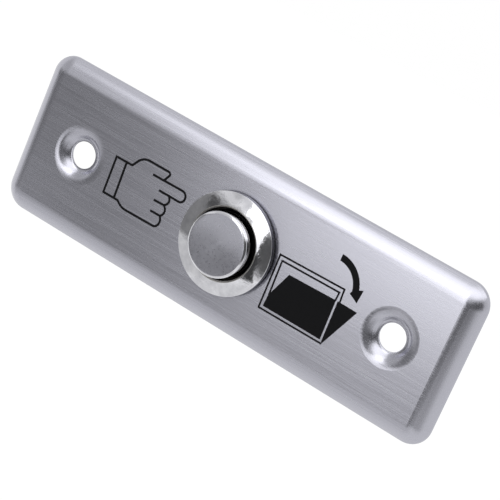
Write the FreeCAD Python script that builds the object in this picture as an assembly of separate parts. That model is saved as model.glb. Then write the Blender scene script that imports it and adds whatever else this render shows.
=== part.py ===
"""Door exit button: a pressed stainless plate that carries a 16 mm turned push button.

Millimetres. X runs along the plate, Z up across it and Y into the wall. The wall is the
plane y = 0, so what a person sees lies at negative y and the switch body at positive y.
The button's axis is the Y axis.
"""
import FreeCAD, Part

import math
import os

from FreeCAD import Vector

# Face plate, pressed from sheet
PLATE_LENGTH = 92.0
PLATE_SIDE_MARGIN = 4.65
PLATE_RISE = 2.5
SHEET = 0.8
FACE_CORNER_RADIUS = 0.4
FOLD_RADIUS = 3.0
FOLD_SLOPE = 20.0
RIM_RADIUS = 0.9
RIM_SLOPE = 52.0

# Pressed dimples with the holes for the fixing screws, which break out over a share of the seat
HOLE_END_MARGIN = 12.6
HOLE_RADIUS = 2.45
HOLE_WALL = 0.15
HOLE_BREAKOUT_SHARE = 0.9
DIMPLE_DEPTH = 1.35
DIMPLE_WALL_SLOPE = 42.0
DIMPLE_SEAT_WIDTH = 0.34
DIMPLE_ROLL_RADIUS = 2.8
DIMPLE_FLOOR_FILLET = 0.75
DIMPLE_MARGIN = 0.1

# Button housing, turned, with a barrel for the panel nut
REAR_BORE_GAP = 0.85
BARREL_WALL = 1.4
FLANGE_OVERHANG = 1.11
FLANGE_EDGE = 1.03
FLANGE_EDGE_ROUND = 0.12
FLANGE_BEVEL = 0.74
LIP_FLAT = 0.12
LIP_CHAMFER = 0.2
FRONT_RECESS_DEPTH = 1.47
FRONT_RECESS_GAP = 0.55
COLLAR_LENGTH = 3.6
BASE_BORE_STEP = 0.3
REAR_LIP_OVERLAP = 0.7
REAR_LIP_THICKNESS = 0.4
PANEL_HOLE_CLEARANCE = 0.1
THREAD_PITCH = 1.0
THREAD_DEPTH = 0.55
THREAD_CREST = 0.16
THREAD_ROOT = 0.12

# Seal, washer and nut that hold the housing in the plate
SEAL_THICKNESS = 0.4
SEAL_INSET = 0.2
WASHER_THICKNESS = 0.5
WASHER_OVERHANG = 2.4
WASHER_TEETH = 12
WASHER_NOTCH_WIDTH = 1.3
WASHER_NOTCH_DEPTH = 1.1
NUT_WALL = 1.5
NUT_THICKNESS = 3.0
NUT_CHAMFER_SLOPE = 30.0
NUT_COUNTERSINK = 0.4
THREAD_CLEARANCE = 0.03

# Push cap with its O-ring and retaining clip
BUTTON_TRAVEL = 1.8
CAP_RADIUS = 5.75
CAP_STANDOUT = 2.16
CAP_BEVEL_WIDTH = 0.42
CAP_BEVEL_DEPTH = 0.2
CAP_EDGE_ROUND = 0.3
CAP_DISH_INSET = 0.28
CAP_DISH_DEPTH = 0.14
CAP_FACE_THICKNESS = 1.5
CAP_WALL = 1.15
CAP_CLEARANCE = 0.08
CAP_SKIRT = 0.8
RING_SECTION = 0.8
RING_GROOVE_DEPTH = 0.7
RING_SETBACK = 0.8
CLIP_THICKNESS = 0.46
CLIP_GROOVE_DEPTH = 0.5
CLIP_OUTER_CLEARANCE = 0.2
CLIP_OPENING = 3.4

# Plunger and contact bridge, carried by the cap, where the stem takes a share of the cap's radius
PLUNGER_CLEARANCE = 0.03
PLUNGER_FLANGE_INSET = 0.15
PLUNGER_FLANGE_THICKNESS = 0.8
STEM_SHARE = 0.1913
STEM_LENGTH = 4.0
STEM_HEAD_OVERHANG = 0.5
STEM_HEAD_LENGTH = 0.9
STEM_SPLIT_WIDTH = 0.4
STEM_SPLIT_LENGTH = 2.2
BRIDGE_END_INSET = 0.65
BRIDGE_WALL = 0.5
BRIDGE_THICKNESS = 0.6
BRIDGE_CORNER_RADIUS = 0.6
BRIDGE_STEM_CLEARANCE = 0.1

# Springs, where the ground end is the share of the wire that the wire's centre runs past a seat
RETURN_COIL_INSET = 0.3
RETURN_WIRE = 0.35
RETURN_TURNS = 6
CONTACT_COIL_GAP = 0.65
CONTACT_WIRE = 0.35
CONTACT_TURNS = 3.5
GROUND_END = 0.34

# Contact rivets
CONTACT_END_MARGIN = 0.3
CONTACT_CLEARANCE = 0.05
MOVING_HEAD_RADIUS = 1.0
MOVING_HEAD_HEIGHT = 0.5
FIXED_HEAD_RADIUS = 1.1
FIXED_HEAD_HEIGHT = 0.25
RIVET_RADIUS = 0.5
RIVET_UPSET_RADIUS = 0.8
RIVET_UPSET_HEIGHT = 0.15
RIVET_CLEARANCE = 0.02

# Terminal base, the moulding that closes the housing's rear
BASE_CLEARANCE = 0.05
BASE_BODY_LENGTH = 2.8
BASE_BOSS_LENGTH = 1.6
BASE_EDGE_CHAMFER = 0.3
WELL_CLEARANCE = 0.175
WELL_DEPTH = 3.1
RIB_THICKNESS = 1.0
RIB_INSET = 1.15
RIB_MARGIN = 0.3

# Terminals with their clamp washers and screws, where the screws take shares of the cap's radius
TERMINAL_SHEET = 0.6
TERMINAL_LEG_WIDTH = 2.6
TERMINAL_EDGE_MARGIN = 0.45
TERMINAL_CONTACT_MARGIN = 0.1
TERMINAL_SLOT_CLEARANCE = 0.05
PAD_RIB_GAP = 0.3
SCREW_OFFSET_SHARE = 0.5739
SCREW_SHARE = 0.2174
SCREW_RIB_GAP = 0.5
SCREW_HEAD_HEIGHT = 1.5
SCREW_HEAD_ROUND = 0.5
SCREW_LENGTH = 3.4
SCREW_SLOT_WIDTH = 0.55
SCREW_SLOT_DEPTH = 0.7
SCREW_CLEARANCE = 0.1
SCREW_END_GAP = 0.2
CLAMP_INSET = 0.1
CLAMP_THICKNESS = 0.4
CLAMP_CORNER_RADIUS = 0.5

# Depths, front to rear, worked out from the sizes above
FACE_Y = -PLATE_RISE
PANEL_BACK_Y = FACE_Y + SHEET
FLANGE_BACK_Y = FACE_Y - SEAL_THICKNESS
FLANGE_EDGE_Y = FLANGE_BACK_Y - FLANGE_EDGE
LIP_Y = FLANGE_EDGE_Y - FLANGE_BEVEL
CAP_FACE_Y = LIP_Y - CAP_STANDOUT
COLLAR_FRONT_Y = LIP_Y + FRONT_RECESS_DEPTH
COLLAR_BACK_Y = COLLAR_FRONT_Y + COLLAR_LENGTH
CAVITY_Y = CAP_FACE_Y + CAP_FACE_THICKNESS
CAP_REAR_Y = COLLAR_BACK_Y + CAP_SKIRT
STEM_FRONT_Y = CAP_REAR_Y + PLUNGER_FLANGE_THICKNESS
STEM_HEAD_Y = STEM_FRONT_Y + STEM_LENGTH
STEM_END_Y = STEM_HEAD_Y + STEM_HEAD_LENGTH
BRIDGE_FRONT_Y = STEM_HEAD_Y - BRIDGE_THICKNESS
FIXED_CONTACT_Y = STEM_HEAD_Y + MOVING_HEAD_HEIGHT + BUTTON_TRAVEL + CONTACT_CLEARANCE
TERMINAL_FRONT_Y = FIXED_CONTACT_Y + FIXED_HEAD_HEIGHT
BASE_FRONT_Y = TERMINAL_FRONT_Y + TERMINAL_SHEET
BASE_SHOULDER_Y = BASE_FRONT_Y + BASE_BODY_LENGTH
BASE_REAR_Y = BASE_SHOULDER_Y + BASE_BOSS_LENGTH
BARREL_REAR_Y = BASE_SHOULDER_Y + REAR_LIP_THICKNESS
WELL_END_Y = BASE_FRONT_Y + WELL_DEPTH
PAD_BACK_Y = BASE_REAR_Y + TERMINAL_SHEET
CLAMP_BACK_Y = PAD_BACK_Y + CLAMP_THICKNESS
SCREW_REAR_Y = CLAMP_BACK_Y + SCREW_HEAD_HEIGHT
SCREW_TIP_Y = CLAMP_BACK_Y - SCREW_LENGTH

# Radii and widths of the housing and what holds it, each from the piece that it fits
COLLAR_RADIUS = CAP_RADIUS + CAP_CLEARANCE
FRONT_BORE_RADIUS = CAP_RADIUS + FRONT_RECESS_GAP
LIP_RADIUS = FRONT_BORE_RADIUS + LIP_CHAMFER + LIP_FLAT
REAR_BORE_RADIUS = CAP_RADIUS + REAR_BORE_GAP
BARREL_RADIUS = REAR_BORE_RADIUS + BARREL_WALL
FLANGE_RADIUS = BARREL_RADIUS + FLANGE_OVERHANG
NUT_ACROSS_FLATS = 2 * (BARREL_RADIUS + NUT_WALL)
WASHER_RADIUS = BARREL_RADIUS + WASHER_OVERHANG
BASE_BORE_RADIUS = REAR_BORE_RADIUS + BASE_BORE_STEP
REAR_LIP_RADIUS = BASE_BORE_RADIUS - REAR_LIP_OVERLAP

# Plate width, hole spacing and dimple floor, which leave room for the switch and the screws
PLATE_WIDTH = 2 * (WASHER_RADIUS + PLATE_SIDE_MARGIN)
HOLE_SPACING = PLATE_LENGTH - 2 * HOLE_END_MARGIN
DIMPLE_FLOOR_RADIUS = HOLE_RADIUS + DIMPLE_SEAT_WIDTH

# Cap, plunger, bridge and springs, each from the piece that it fits
CAP_CAVITY_RADIUS = CAP_RADIUS - CAP_WALL
CAP_DISH_RADIUS = CAP_RADIUS - CAP_BEVEL_WIDTH - CAP_DISH_INSET
STEM_RADIUS = STEM_SHARE * CAP_RADIUS
STEM_HEAD_RADIUS = STEM_RADIUS + STEM_HEAD_OVERHANG
BRIDGE_LENGTH = 2 * (CAP_RADIUS - BRIDGE_END_INSET)
BRIDGE_WIDTH = 2 * (STEM_RADIUS + BRIDGE_WALL)
CONTACT_OFFSET = BRIDGE_LENGTH / 2 - MOVING_HEAD_RADIUS - CONTACT_END_MARGIN
RETURN_COIL_RADIUS = STEM_HEAD_RADIUS - RETURN_COIL_INSET
CONTACT_COIL_RADIUS = STEM_RADIUS + CONTACT_COIL_GAP

# Base, terminals and terminal screws, each from the piece that it fits
BASE_BOSS_RADIUS = REAR_LIP_RADIUS - BASE_CLEARANCE
RIB_LENGTH = 2 * (BASE_BOSS_RADIUS - RIB_INSET)
WELL_RADIUS = RETURN_COIL_RADIUS + RETURN_WIRE / 2 + WELL_CLEARANCE
TERMINAL_OUTER_X = BASE_BOSS_RADIUS - TERMINAL_EDGE_MARGIN
TERMINAL_INNER_X = CONTACT_OFFSET - FIXED_HEAD_RADIUS - TERMINAL_CONTACT_MARGIN
SCREW_OFFSET = SCREW_OFFSET_SHARE * CAP_RADIUS
SCREW_RADIUS = SCREW_SHARE * CAP_RADIUS
SCREW_HEAD_RADIUS = SCREW_OFFSET - RIB_THICKNESS / 2 - SCREW_RIB_GAP
PAD_INNER_X = RIB_THICKNESS / 2 + PAD_RIB_GAP
PAD_WIDTH = 2 * SCREW_HEAD_RADIUS
CLAMP_SIZE = 2 * (SCREW_HEAD_RADIUS - CLAMP_INSET)

AXIS = Vector(0, 1, 0)
ORIGIN = Vector(0, 0, 0)


def rounded_wire(corners, place):
    """Close a wire through (a, b, radius) corners, where place(a, b) is the point in space."""
    edges = []
    last = None
    first = None
    count = len(corners)
    for index, (a, b, radius) in enumerate(corners):
        here = Vector(a, b, 0)
        before = Vector(*corners[index - 1][:2], 0) - here
        after = Vector(*corners[(index + 1) % count][:2], 0) - here
        start, middle, end = corner_arc(here, before.normalize(), after.normalize(), radius)
        if last is None:
            first = start
        elif last.distanceToPoint(start) > 1e-7:
            edges.append(Part.makeLine(place(last.x, last.y), place(start.x, start.y)))
        if radius > 0:
            arc = Part.Arc(place(start.x, start.y), place(middle.x, middle.y), place(end.x, end.y))
            edges.append(arc.toShape())
        last = end
    edges.append(Part.makeLine(place(last.x, last.y), place(first.x, first.y)))
    return Part.Wire(edges)


def corner_arc(here, before, after, radius):
    """Return the start, middle and end of the arc that rounds a corner."""
    if radius == 0:
        return here, here, here
    half = before.getAngle(after) / 2
    reach = radius / math.tan(half)
    bisector = (before + after).normalize()
    middle = here + bisector * (radius / math.sin(half) - radius)
    return here + before * reach, middle, here + after * reach


def turned(corners):
    """Turn a closed (radius, y, corner radius) section about the button's axis."""
    face = Part.Face(rounded_wire(corners, lambda r, y: Vector(r, y, 0)))
    return face.revolve(ORIGIN, AXIS, 360)


def rod(radius, front, back, x=0.0):
    """Make a cylinder along Y."""
    return Part.makeCylinder(radius, back - front, Vector(x, front, 0), AXIS)


def tube(inner, outer, front, back):
    """Make a plain ring about the button's axis."""
    return rod(outer, front, back).cut(rod(inner, front, back))


def block(x_range, y_range, z_half):
    """Make a box that lies evenly about z = 0."""
    size = (x_range[1] - x_range[0], y_range[1] - y_range[0], 2 * z_half)
    return Part.makeBox(*size, Vector(x_range[0], y_range[0], -z_half))


def slab(length, width, corner_radius, front, back, x=0.0):
    """Make a flat plate with rounded corners, square to Y."""
    a = length / 2
    b = width / 2
    corners = [(x - a, -b), (x + a, -b), (x + a, b), (x - a, b)]
    outline = rounded_wire(
        [(u, w, corner_radius) for u, w in corners],
        lambda u, w: Vector(u, front, w),
    )
    return Part.Face(outline).extrude(Vector(0, back - front, 0))


def half_turn(shape):
    """Copy a right-hand piece to the left of the button's axis."""
    copy = shape.copy()
    copy.rotate(ORIGIN, AXIS, 180)
    return copy


def border_bends():
    """Return (centre across, centre height, outer radius, first slope, last slope) of each bend."""
    fold = math.radians(FOLD_SLOPE)
    rim = math.radians(RIM_SLOPE)
    fold_drop = FOLD_RADIUS * (1 - math.cos(fold))
    rim_drop = RIM_RADIUS * math.cos(rim)
    sweep_radius = (PLATE_RISE - fold_drop - rim_drop) / (math.cos(fold) - math.cos(rim))
    bends = []
    across = 0.0
    height = PLATE_RISE
    square = math.pi / 2
    for radius, start, end in (
        (FOLD_RADIUS, 0.0, fold),
        (sweep_radius, fold, rim),
        (RIM_RADIUS, rim, square),
    ):
        centre = (across - radius * math.sin(start), height - radius * math.cos(start))
        bends.append((centre[0], centre[1], radius, start, end))
        across = centre[0] + radius * math.sin(end)
        height = centre[1] + radius * math.cos(end)
    return bends


def border_width():
    """Return how far the rim lies outside the flat face."""
    across, _, radius, _, _ = border_bends()[-1]
    return across + radius


def bend_edge(bend, inset):
    """Return one arc of the border's section, inset from its outer side."""
    across, height, radius, start, end = bend
    points = []
    for slope in (start, (start + end) / 2, end):
        reach = radius - inset
        point = (across + reach * math.sin(slope), height + reach * math.cos(slope))
        points.append(Vector(point[0], -point[1], 0))
    return Part.Arc(*points).toShape()


def border_section():
    """Make the border's section, with its outer side towards +X and its root at x = 0."""
    bends = border_bends()
    outer = [bend_edge(bend, 0.0) for bend in bends]
    inner = [bend_edge(bend, SHEET) for bend in bends]
    width = border_width()
    root = Part.makeLine(Vector(0, FACE_Y, 0), Vector(0, PANEL_BACK_Y, 0))
    cut_edge = Part.makeLine(Vector(width, 0, 0), Vector(width - SHEET, 0, 0))
    wire = Part.Wire(Part.__sortEdges__(outer + [cut_edge] + inner + [root]))
    return Part.Face(wire)


def plate_border(flat_length, flat_width):
    """Run the border's section round the flat face: four straight sides and four corners."""
    pieces = []
    for turn, reach, run in (
        (0, flat_length / 2, flat_width / 2),
        (90, flat_width / 2, flat_length / 2),
        (180, flat_length / 2, flat_width / 2),
        (270, flat_width / 2, flat_length / 2),
    ):
        end = run - FACE_CORNER_RADIUS
        side = border_section()
        side.translate(Vector(reach, 0, -end))
        side = side.extrude(Vector(0, 0, 2 * end))
        corner = border_section()
        corner.translate(Vector(reach, 0, end))
        centre = Vector(reach - FACE_CORNER_RADIUS, 0, end)
        corner = corner.revolve(centre, -AXIS, 90)
        for piece in (side, corner):
            piece.rotate(ORIGIN, -AXIS, turn)
            pieces.append(piece)
    return pieces


def dimple_reach():
    """Return the radius of the part of the sheet that a dimple takes."""
    slope = math.radians(DIMPLE_WALL_SLOPE)
    run = DIMPLE_DEPTH / math.tan(slope)
    roll = DIMPLE_ROLL_RADIUS * math.tan(slope / 2)
    return DIMPLE_FLOOR_RADIUS + run + roll + DIMPLE_MARGIN


def dimple(x):
    """Press the sheet in round one screw hole, at the same thickness throughout."""
    slope = math.radians(DIMPLE_WALL_SLOPE)
    shift = SHEET * math.tan(slope / 2)
    run = DIMPLE_DEPTH / math.tan(slope)
    floor_y = FACE_Y + DIMPLE_DEPTH
    back_y = floor_y + SHEET
    breakout = HOLE_BREAKOUT_SHARE * DIMPLE_SEAT_WIDTH
    top_radius = DIMPLE_FLOOR_RADIUS + run
    section = [
        (HOLE_RADIUS, floor_y, 0),
        (DIMPLE_FLOOR_RADIUS, floor_y, DIMPLE_FLOOR_FILLET),
        (top_radius, FACE_Y, DIMPLE_ROLL_RADIUS),
        (dimple_reach(), FACE_Y, 0),
        (dimple_reach(), PANEL_BACK_Y, 0),
        (top_radius + shift, PANEL_BACK_Y, DIMPLE_ROLL_RADIUS - SHEET),
        (DIMPLE_FLOOR_RADIUS + shift, back_y, DIMPLE_FLOOR_FILLET),
        (HOLE_RADIUS + breakout, back_y, 0),
        (HOLE_RADIUS, floor_y + HOLE_WALL, 0),
    ]
    shape = turned(section)
    shape.translate(Vector(x, 0, 0))
    return shape


def make_face_plate():
    """Make the pressed plate: flat face, border, two dimpled holes and the switch's hole."""
    flat_length = PLATE_LENGTH - 2 * border_width()
    flat_width = PLATE_WIDTH - 2 * border_width()
    panel = slab(flat_length, flat_width, FACE_CORNER_RADIUS, FACE_Y, PANEL_BACK_Y)
    holes = [-HOLE_SPACING / 2, HOLE_SPACING / 2]
    for x in holes:
        panel = panel.cut(rod(dimple_reach(), FACE_Y, PANEL_BACK_Y, x))
    switch_hole = rod(BARREL_RADIUS + PANEL_HOLE_CLEARANCE, FACE_Y, PANEL_BACK_Y)
    panel = panel.cut(switch_hole)
    pieces = plate_border(flat_length, flat_width) + [dimple(x) for x in holes]
    return panel.multiFuse(pieces).removeSplitter()


def thread_corners(front, rear):
    """Return the section of the barrel's thread from the rear to the front, as rings of its pitch."""
    flank_end = (THREAD_PITCH - THREAD_CREST) / 2
    corners = []
    for index in range(math.floor((rear - front) / THREAD_PITCH)):
        middle = rear - (index + 0.5) * THREAD_PITCH
        for radius, offset in (
            (BARREL_RADIUS, flank_end),
            (BARREL_RADIUS - THREAD_DEPTH, THREAD_ROOT / 2),
            (BARREL_RADIUS - THREAD_DEPTH, -THREAD_ROOT / 2),
            (BARREL_RADIUS, -flank_end),
        ):
            corners.append((radius, middle + offset, 0))
    return corners


def make_button_housing():
    """Turn the housing: bevelled flange, lip, guide collar, threaded barrel and rear lip."""
    thread_front = PANEL_BACK_Y + WASHER_THICKNESS
    thread_rear = BARREL_REAR_Y - REAR_LIP_THICKNESS
    return turned(
        [
            (BARREL_RADIUS, FLANGE_BACK_Y, 0),
            (FLANGE_RADIUS, FLANGE_BACK_Y, FLANGE_EDGE_ROUND),
            (FLANGE_RADIUS, FLANGE_EDGE_Y, FLANGE_EDGE_ROUND),
            (LIP_RADIUS, LIP_Y, 0),
            (LIP_RADIUS - LIP_FLAT, LIP_Y, 0),
            (FRONT_BORE_RADIUS, LIP_Y + LIP_CHAMFER, 0),
            (FRONT_BORE_RADIUS, COLLAR_FRONT_Y, 0),
            (COLLAR_RADIUS, COLLAR_FRONT_Y, 0),
            (COLLAR_RADIUS, COLLAR_BACK_Y, 0),
            (REAR_BORE_RADIUS, COLLAR_BACK_Y, 0),
            (REAR_BORE_RADIUS, BASE_FRONT_Y, 0),
            (BASE_BORE_RADIUS, BASE_FRONT_Y, 0),
            (BASE_BORE_RADIUS, BASE_SHOULDER_Y, 0),
            (REAR_LIP_RADIUS, BASE_SHOULDER_Y, 0),
            (REAR_LIP_RADIUS, BARREL_REAR_Y, 0),
            (BARREL_RADIUS, BARREL_REAR_Y, REAR_LIP_THICKNESS),
        ]
        + thread_corners(thread_front, thread_rear)
    )


def make_panel_seal():
    """Make the flat rubber ring between the flange and the plate."""
    inner = BARREL_RADIUS + PANEL_HOLE_CLEARANCE
    return tube(inner, FLANGE_RADIUS - SEAL_INSET, FLANGE_BACK_Y, FACE_Y)


def make_lock_washer():
    """Make the washer behind the plate, with teeth left between notches in its bore."""
    bore = BARREL_RADIUS + PANEL_HOLE_CLEARANCE
    back_y = PANEL_BACK_Y + WASHER_THICKNESS
    washer = tube(bore, WASHER_RADIUS, PANEL_BACK_Y, back_y)
    notches = []
    for index in range(WASHER_TEETH):
        notch = block((0, bore + WASHER_NOTCH_DEPTH), (PANEL_BACK_Y, back_y), WASHER_NOTCH_WIDTH / 2)
        notch.rotate(ORIGIN, AXIS, index * 360 / WASHER_TEETH)
        notches.append(notch)
    return washer.cut(notches)


def make_panel_nut():
    """Make the thin hexagon nut, chamfered on both faces and countersunk at its bore."""
    front = PANEL_BACK_Y + WASHER_THICKNESS
    back = front + NUT_THICKNESS
    corner = NUT_ACROSS_FLATS / 2 / math.cos(math.pi / 6)
    angles = [math.pi / 6 + index * math.pi / 3 for index in range(7)]
    outline = [Vector(corner * math.cos(t), front, corner * math.sin(t)) for t in angles]
    prism = Part.Face(Part.makePolygon(outline)).extrude(Vector(0, back - front, 0))
    flat = NUT_ACROSS_FLATS / 2
    drop = (corner - flat) * math.tan(math.radians(NUT_CHAMFER_SLOPE))
    bore = BARREL_RADIUS + THREAD_CLEARANCE
    body = turned(
        [
            (bore + NUT_COUNTERSINK, front, 0),
            (flat, front, 0),
            (corner, front + drop, 0),
            (corner, back - drop, 0),
            (flat, back, 0),
            (bore + NUT_COUNTERSINK, back, 0),
            (bore, back - NUT_COUNTERSINK, 0),
            (bore, front + NUT_COUNTERSINK, 0),
        ]
    )
    return prism.common(body)


def ring_groove():
    """Return the front and back depth of the O-ring's groove in the cap."""
    front = COLLAR_FRONT_Y + RING_SETBACK - RING_SECTION / 2 - RIVET_CLEARANCE
    back = COLLAR_FRONT_Y + RING_SETBACK + RING_SECTION / 2 + RIVET_CLEARANCE
    return front, back


def make_push_cap():
    """Turn the cap: dished face with a bevelled edge, hollow skirt, two outer grooves."""
    groove_front, groove_back = ring_groove()
    groove_radius = CAP_RADIUS - RING_GROOVE_DEPTH
    clip_radius = CAP_RADIUS - CLIP_GROOVE_DEPTH
    clip_back = COLLAR_BACK_Y + CLIP_THICKNESS + 2 * RIVET_CLEARANCE
    body = turned(
        [
            (0, CAP_FACE_Y, 0),
            (CAP_RADIUS - CAP_BEVEL_WIDTH, CAP_FACE_Y, 0),
            (CAP_RADIUS, CAP_FACE_Y + CAP_BEVEL_DEPTH, CAP_EDGE_ROUND),
            (CAP_RADIUS, groove_front, 0),
            (groove_radius, groove_front, 0),
            (groove_radius, groove_back, 0),
            (CAP_RADIUS, groove_back, 0),
            (CAP_RADIUS, COLLAR_BACK_Y, 0),
            (clip_radius, COLLAR_BACK_Y, 0),
            (clip_radius, clip_back, 0),
            (CAP_RADIUS, clip_back, 0),
            (CAP_RADIUS, CAP_REAR_Y, 0),
            (CAP_CAVITY_RADIUS, CAP_REAR_Y, 0),
            (CAP_CAVITY_RADIUS, CAVITY_Y, 0),
            (0, CAVITY_Y, 0),
        ]
    )
    ball_radius = (CAP_DISH_RADIUS**2 + CAP_DISH_DEPTH**2) / (2 * CAP_DISH_DEPTH)
    centre = Vector(0, CAP_FACE_Y + CAP_DISH_DEPTH - ball_radius, 0)
    return body.cut(Part.makeSphere(ball_radius, centre))


def make_cap_oring():
    """Make the O-ring in the cap's groove, just clear of the collar."""
    inner = CAP_RADIUS - RING_GROOVE_DEPTH + RIVET_CLEARANCE / 2
    outer = COLLAR_RADIUS - RIVET_CLEARANCE / 2
    centre = Vector(0, COLLAR_FRONT_Y + RING_SETBACK, 0)
    return Part.makeTorus((inner + outer) / 2, (outer - inner) / 2, centre, AXIS)


def make_retaining_clip():
    """Make the open clip in the cap's groove, which stops the cap behind the collar."""
    front = COLLAR_BACK_Y + RIVET_CLEARANCE
    back = front + CLIP_THICKNESS
    inner = CAP_RADIUS - CLIP_GROOVE_DEPTH + RIVET_CLEARANCE
    outer = REAR_BORE_RADIUS - CLIP_OUTER_CLEARANCE
    ring = tube(inner, outer, front, back)
    opening = Part.makeBox(CLIP_OPENING, back - front, outer, Vector(-CLIP_OPENING / 2, front, -outer))
    return ring.cut(opening)


def make_plunger():
    """Make the moulded plunger: plug in the cap, flange, stem and split snap head."""
    plug_radius = CAP_CAVITY_RADIUS - PLUNGER_CLEARANCE
    flange_radius = CAP_RADIUS - PLUNGER_FLANGE_INSET
    body = turned(
        [
            (0, CAVITY_Y, 0),
            (plug_radius, CAVITY_Y, 0),
            (plug_radius, CAP_REAR_Y, 0),
            (flange_radius, CAP_REAR_Y, 0),
            (flange_radius, STEM_FRONT_Y, 0),
            (STEM_RADIUS, STEM_FRONT_Y, 0),
            (STEM_RADIUS, STEM_HEAD_Y, 0),
            (STEM_HEAD_RADIUS, STEM_HEAD_Y, 0),
            (STEM_HEAD_RADIUS, STEM_END_Y, 0),
            (0, STEM_END_Y, 0),
        ]
    )
    half_width = STEM_SPLIT_WIDTH / 2
    split = block(
        (-half_width, half_width),
        (STEM_END_Y - STEM_SPLIT_LENGTH, STEM_END_Y),
        STEM_HEAD_RADIUS,
    )
    return body.cut(split)


def make_contact_bridge():
    """Make the brass strip that the stem carries, with holes for the stem and two rivets."""
    strip = slab(BRIDGE_LENGTH, BRIDGE_WIDTH, BRIDGE_CORNER_RADIUS, BRIDGE_FRONT_Y, STEM_HEAD_Y)
    holes = [rod(STEM_RADIUS + BRIDGE_STEM_CLEARANCE, BRIDGE_FRONT_Y, STEM_HEAD_Y)]
    for x in (-CONTACT_OFFSET, CONTACT_OFFSET):
        holes.append(rod(RIVET_RADIUS + RIVET_CLEARANCE, BRIDGE_FRONT_Y, STEM_HEAD_Y, x))
    return strip.cut(holes)


def make_moving_contact():
    """Make the right-hand rivet contact of the bridge, with its upset end."""
    head_y = STEM_HEAD_Y + MOVING_HEAD_HEIGHT
    head = rod(MOVING_HEAD_RADIUS, STEM_HEAD_Y, head_y, CONTACT_OFFSET)
    shank = rod(RIVET_RADIUS, BRIDGE_FRONT_Y, STEM_HEAD_Y, CONTACT_OFFSET)
    upset_y = BRIDGE_FRONT_Y - RIVET_UPSET_HEIGHT
    upset = rod(RIVET_UPSET_RADIUS, upset_y, BRIDGE_FRONT_Y, CONTACT_OFFSET)
    return head.fuse([shank, upset]).removeSplitter()


def make_fixed_contact():
    """Make the right-hand rivet contact that sits in the terminal's inner leg."""
    head = rod(FIXED_HEAD_RADIUS, FIXED_CONTACT_Y, TERMINAL_FRONT_Y, CONTACT_OFFSET)
    shank = rod(RIVET_RADIUS, TERMINAL_FRONT_Y, BASE_FRONT_Y, CONTACT_OFFSET)
    return head.fuse(shank).removeSplitter()


def coil_spring(coil_radius, wire, turns, front, back):
    """Wind a compression spring between two seats, with both ends ground flat."""
    pitch = (back - front) / turns
    run_out = GROUND_END * wire
    height = back - front + 2 * run_out
    helix = Part.makeHelix(pitch, height, coil_radius)
    rise = Vector(0, 2 * math.pi * coil_radius, pitch)
    section = Part.Wire([Part.makeCircle(wire / 2, Vector(coil_radius, 0, 0), rise)])
    coil = Part.Wire(helix.Edges).makePipeShell([section], True, True)
    coil.rotate(ORIGIN, Vector(1, 0, 0), -90)
    coil.translate(Vector(0, front - run_out, 0))
    reach = coil_radius + wire
    return coil.common(block((-reach, reach), (front, back), reach))


def make_return_spring():
    """Make the spring that pushes the cap out, from the base's well to the stem's head."""
    return coil_spring(RETURN_COIL_RADIUS, RETURN_WIRE, RETURN_TURNS, STEM_END_Y, WELL_END_Y)


def make_contact_spring():
    """Make the spring that presses the bridge against the stem's head."""
    return coil_spring(
        CONTACT_COIL_RADIUS, CONTACT_WIRE, CONTACT_TURNS, STEM_FRONT_Y, BRIDGE_FRONT_Y
    )


def terminal_slot():
    """Make the space in the base that the right-hand terminal's leg passes through."""
    gap = TERMINAL_SLOT_CLEARANCE
    inner_x = TERMINAL_OUTER_X - TERMINAL_SHEET
    return block(
        (inner_x - gap, TERMINAL_OUTER_X + gap),
        (BASE_FRONT_Y, BASE_REAR_Y),
        TERMINAL_LEG_WIDTH / 2 + gap,
    )


def make_terminal_base():
    """Make the moulded base: spring well, terminal slots, screw pockets and a rear rib."""
    body = turned(
        [
            (0, BASE_FRONT_Y, 0),
            (BASE_BORE_RADIUS - BASE_CLEARANCE, BASE_FRONT_Y, 0),
            (BASE_BORE_RADIUS - BASE_CLEARANCE, BASE_SHOULDER_Y, 0),
            (BASE_BOSS_RADIUS, BASE_SHOULDER_Y, 0),
            (BASE_BOSS_RADIUS, BASE_REAR_Y - BASE_EDGE_CHAMFER, 0),
            (BASE_BOSS_RADIUS - BASE_EDGE_CHAMFER, BASE_REAR_Y, 0),
            (0, BASE_REAR_Y, 0),
        ]
    )
    rib = block(
        (-RIB_THICKNESS / 2, RIB_THICKNESS / 2),
        (BASE_REAR_Y, SCREW_REAR_Y + RIB_MARGIN),
        RIB_LENGTH / 2,
    )
    slot = terminal_slot()
    pocket_y = SCREW_TIP_Y - SCREW_END_GAP
    pocket = rod(SCREW_RADIUS + SCREW_CLEARANCE, pocket_y, BASE_REAR_Y, SCREW_OFFSET)
    well = rod(WELL_RADIUS, BASE_FRONT_Y, WELL_END_Y)
    hollows = [well, slot, half_turn(slot), pocket, half_turn(pocket)]
    return body.fuse(rib).removeSplitter().cut(hollows)


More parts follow.
